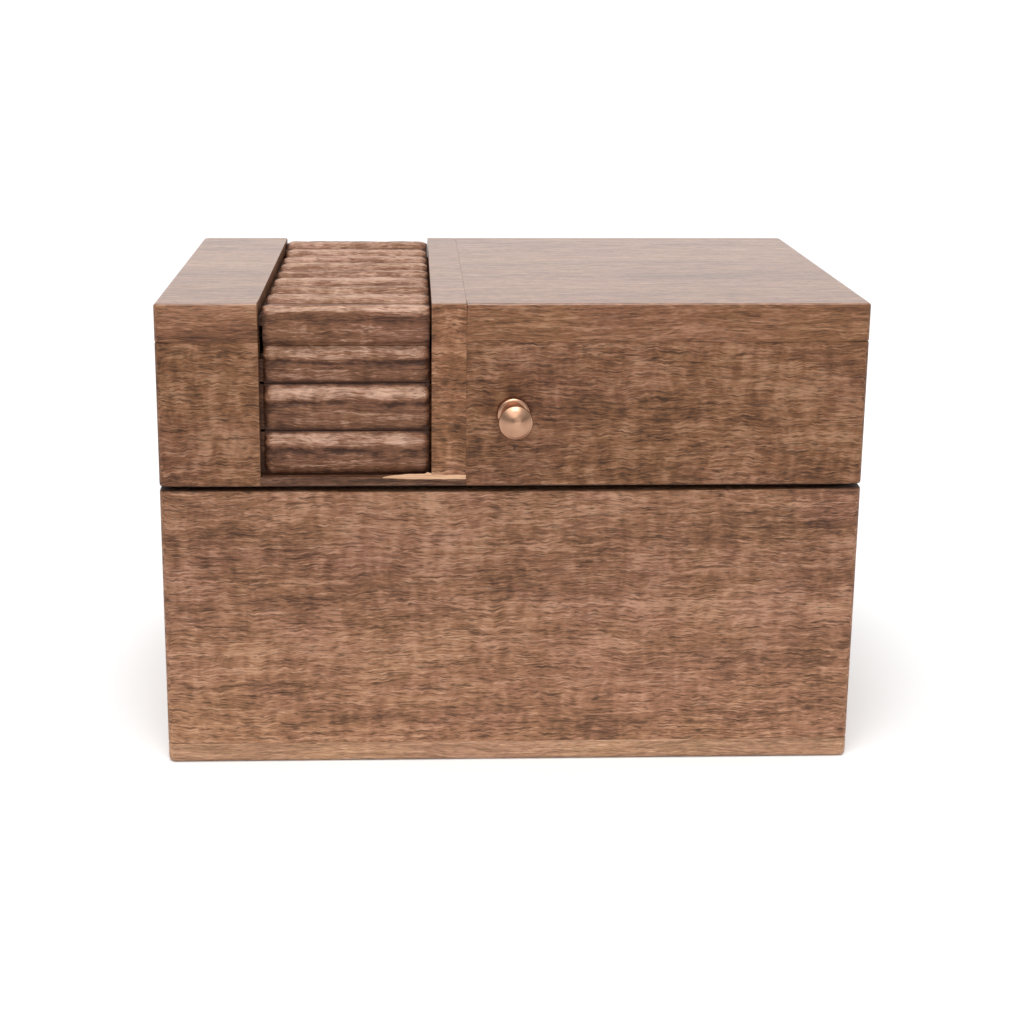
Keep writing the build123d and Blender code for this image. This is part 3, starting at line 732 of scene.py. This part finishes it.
def knob_mark():
    """A short dark mark on the board, just under the knob."""
    x, top, foot = KNOB_CENTRE.x + 0.4 * MM, KNOB_CENTRE.z - 8.6 * MM, KNOB_CENTRE.z - 11.6 * MM
    half = 0.28 * MM
    right = [(x + half * math.sin(math.pi * n / 8) ** 0.7, top + (foot - top) * n / 8) for n in range(1, 8)]
    left = [(2 * x - right_x, z) for right_x, z in reversed(right)]
    points = [(x, top), *right, (x, foot), *left]
    flake("knob_mark", dark_mark(), points, FACE_Y, 0.02 * MM)


# ================================================================ build the pieces
for board in WOODS:
    eased_board(board, BAND_WOOD if board in TOP_BOARDS else None)

for number in (1, 2, 3):
    carved_slat(f"front_slat_{number}", [(1, -1, front_cut)], 3.7 * number)
for number in range(1, 8):
    carved_slat(f"top_slat_{number}", [(2, 1, top_cut)], 20 + 2.9 * number)
carved_slat("corner_slat", [(2, 1, corner_brow_cut), (1, -1, corner_face_cut)], 50.0, 0.2 * MM, 0.5 * MM)
carved_slat("back_slat_1", [(2, 1, top_cut), (1, 1, front_cut)], 61.0, 0.2 * MM)
carved_slat("back_slat_2", [(1, 1, front_cut)], 67.0)

knob()
raw_sliver()
knob_mark()

CAD_MATERIALS = {
    INNER_WOOD: ("lane_back_panel", "lane_floor", "back_lane_housing", "bolt_guide_left", "bolt_guide_right"),
    CANVAS: ("front_canvas", "top_canvas", "back_canvas"),
    SHEET_BRASS: (
        "hinge_leaf_lid_left", "hinge_leaf_lid_right", "hinge_leaf_base_left", "hinge_leaf_base_right",
        "bolt_cover", "bolt_keeper",
    ),
    SCREW_BRASS: (
        "hinge_screws_lid", "hinge_screws_base", "bolt_cover_screws", "keeper_screws", "bolt_button",
    ),
    STEEL: ("hinge_pin_left", "hinge_pin_right", "knob_screw", "bolt_rod"),
}
for material, names in CAD_MATERIALS.items():
    for name in names:
        slots = NODES[name].data.materials
        slots.clear()
        slots.append(material)


# ================================================================ stage, light and camera
def floor():
    """A wide pale floor that the box stands on."""
    s = Shader("pale_floor")
    grain = s.noise(s.place(), (3, 3, 3), 2.0)
    pale = s.ramp(grain, ((0.3, (0.90, 0.90, 0.90, 1)), (0.7, (0.93, 0.93, 0.93, 1))))
    s.set(Base_Color=pale, Roughness=0.8)
    bm = bmesh.new()
    bmesh.ops.create_grid(bm, x_segments=4, y_segments=4, size=30.0)
    mesh = bpy.data.meshes.new("floor")
    bm.to_mesh(mesh)
    bm.free()
    mesh.materials.append(s.material)
    ground = bpy.data.objects.new("floor", mesh)
    bpy.context.scene.collection.objects.link(ground)


def area_light(name, place, target, size, power):
    """A square soft light at place that faces target."""
    data = bpy.data.lights.new(name, "AREA")
    data.shape = "SQUARE"
    data.size = size
    data.energy = power
    lamp = bpy.data.objects.new(name, data)
    lamp.location = place
    lamp.rotation_mode = "QUATERNION"
    lamp.rotation_quaternion = (Vector(target) - Vector(place)).to_track_quat("-Z", "Y")
    bpy.context.scene.collection.objects.link(lamp)


def sky_ramp(tree, height, stops):
    """Brightness of the room by the height of the direction, 0 at eye level and 1 overhead."""
    ramp = tree.nodes.new("ShaderNodeValToRGB")
    fill_ramp(ramp, [(position, (shade, shade, shade, 1)) for position, shade in stops])
    tree.links.new(height, ramp.inputs[0])
    return ramp.outputs[0]


def studio():
    """A bright room: white at eye level and overhead, dimmer between, most of all on the side
    that the camera looks from, with a very soft sun from above."""
    world = bpy.data.worlds.new("studio")
    world.use_nodes = True
    tree = world.node_tree
    point = tree.nodes.new("ShaderNodeTexCoord")
    split = tree.nodes.new("ShaderNodeSeparateXYZ")
    tree.links.new(point.outputs["Generated"], split.inputs[0])
    behind = sky_ramp(tree, split.outputs[2], ((0.0, 1.0), (0.26, 1.0), (0.50, 0.50), (0.95, 1.0)))
    before = sky_ramp(tree, split.outputs[2], ((0.0, 1.0), (0.05, 0.95), (0.16, 0.24), (0.95, 1.0)))
    side = tree.nodes.new("ShaderNodeMapRange")
    side.inputs["From Min"].default_value = -0.3
    side.inputs["From Max"].default_value = 0.2
    tree.links.new(split.outputs[1], side.inputs["Value"])
    mix = tree.nodes.new("ShaderNodeMix")
    mix.data_type = "RGBA"
    tree.links.new(side.outputs["Result"], mix.inputs["Factor"])
    tree.links.new(before, mix.inputs["A"])
    tree.links.new(behind, mix.inputs["B"])
    tree.links.new(mix.outputs["Result"], tree.nodes["Background"].inputs["Color"])
    bpy.context.scene.world = world
    sun = bpy.data.lights.new("soft_sun", "SUN")
    sun.energy = 1.35
    sun.angle = math.radians(60)
    lamp = bpy.data.objects.new("soft_sun", sun)
    lamp.rotation_euler = (math.radians(24), math.radians(-10), 0)
    bpy.context.scene.collection.objects.link(lamp)
    area_light("overhead", (-0.03, -0.36, 1.1), (0, -0.06, 0.1), 0.4, 3.0)
    area_light("fill", (0.35, -1.5, 0.45), (0, 0, 0.07), 1.2, 3.2)
    bpy.context.scene.view_settings.view_transform = "Standard"


def camera():
    """The view from a little left of the middle and above, with nearly upright verticals."""
    yaw, pitch, roll = (math.radians(angle) for angle in (1.81, 12.42, 0.29))
    data = bpy.data.cameras.new("camera")
    data.sensor_width = 36.0
    data.lens = 57.66
    data.shift_x = 0.05
    data.shift_y = -0.17
    data.clip_start = 0.02
    eye = bpy.data.objects.new("camera", data)
    turn = Matrix.Rotation(-yaw, 4, "Z") @ Matrix.Rotation(math.pi / 2 - pitch, 4, "X")
    turn = turn @ Matrix.Rotation(roll, 4, "Z")
    eye.matrix_world = Matrix.Translation((-0.0290, -0.5040, 0.2254)) @ turn
    bpy.context.scene.collection.objects.link(eye)
    bpy.context.scene.camera = eye


floor()
studio()
camera()
